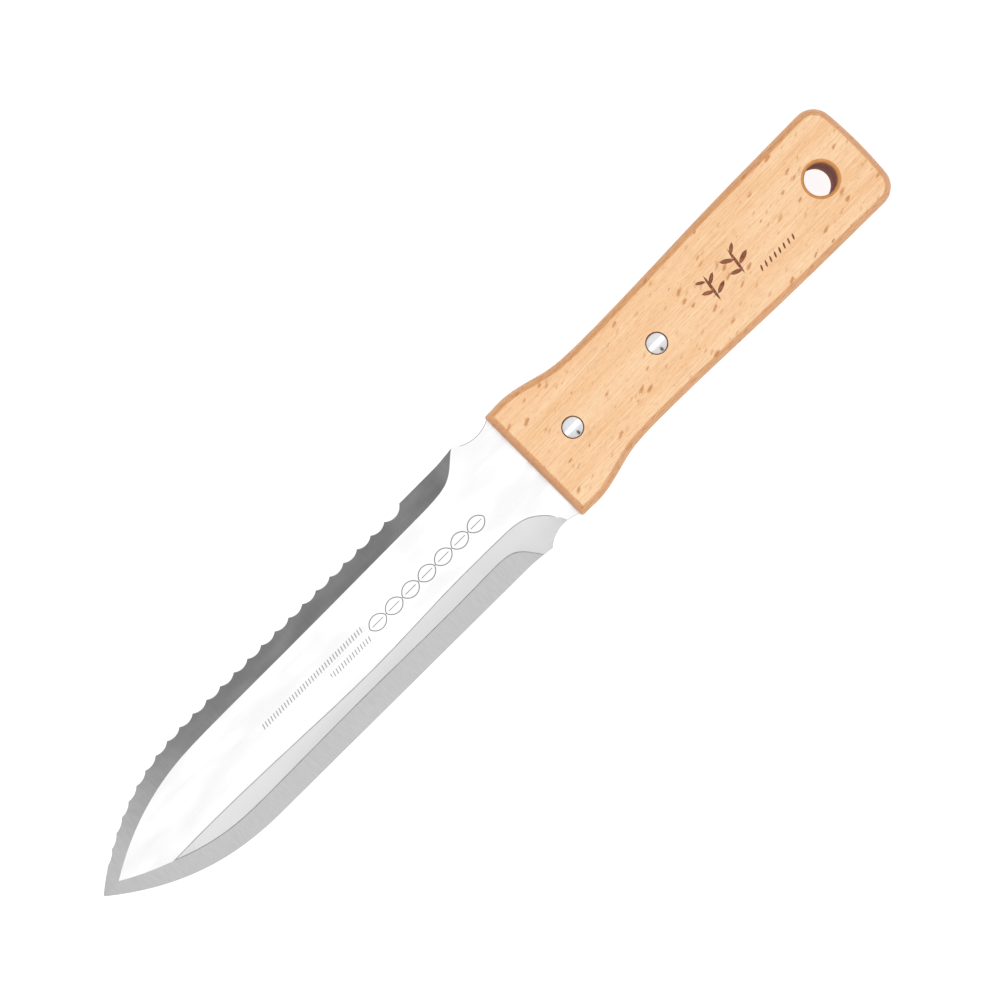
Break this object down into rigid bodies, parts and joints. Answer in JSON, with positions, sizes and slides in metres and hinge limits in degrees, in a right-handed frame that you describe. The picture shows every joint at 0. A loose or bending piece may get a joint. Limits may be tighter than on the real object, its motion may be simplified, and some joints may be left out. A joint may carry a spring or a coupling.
{
  "type": "hori hori knife",
  "caption": "Two-edged digging knife with a serrated and a smooth ground edge, a hollow neck, and a riveted beech handle with a hang hole.",
  "frame": {"origin": "under the middle of the knife's box, in the plane of the handle's back face", "axes": "+X along the knife from the point to the butt, +Y towards the serrated edge, +Z out of the ground face"},
  "size_m": [0.322, 0.0432, 0.02],
  "materials": {
    "blade_steel": "ground and polished stainless steel",
    "beech": "clear-lacquered beech",
    "rivet_steel": "polished stainless steel"
  },
  "bodies": {
    "root": {"blade": "blade_steel", "handle": "beech", "front_rivet_post": "rivet_steel", "front_rivet_socket": "rivet_steel", "rear_rivet_post": "rivet_steel", "rear_rivet_socket": "rivet_steel"}
  },
  "joints": []
}
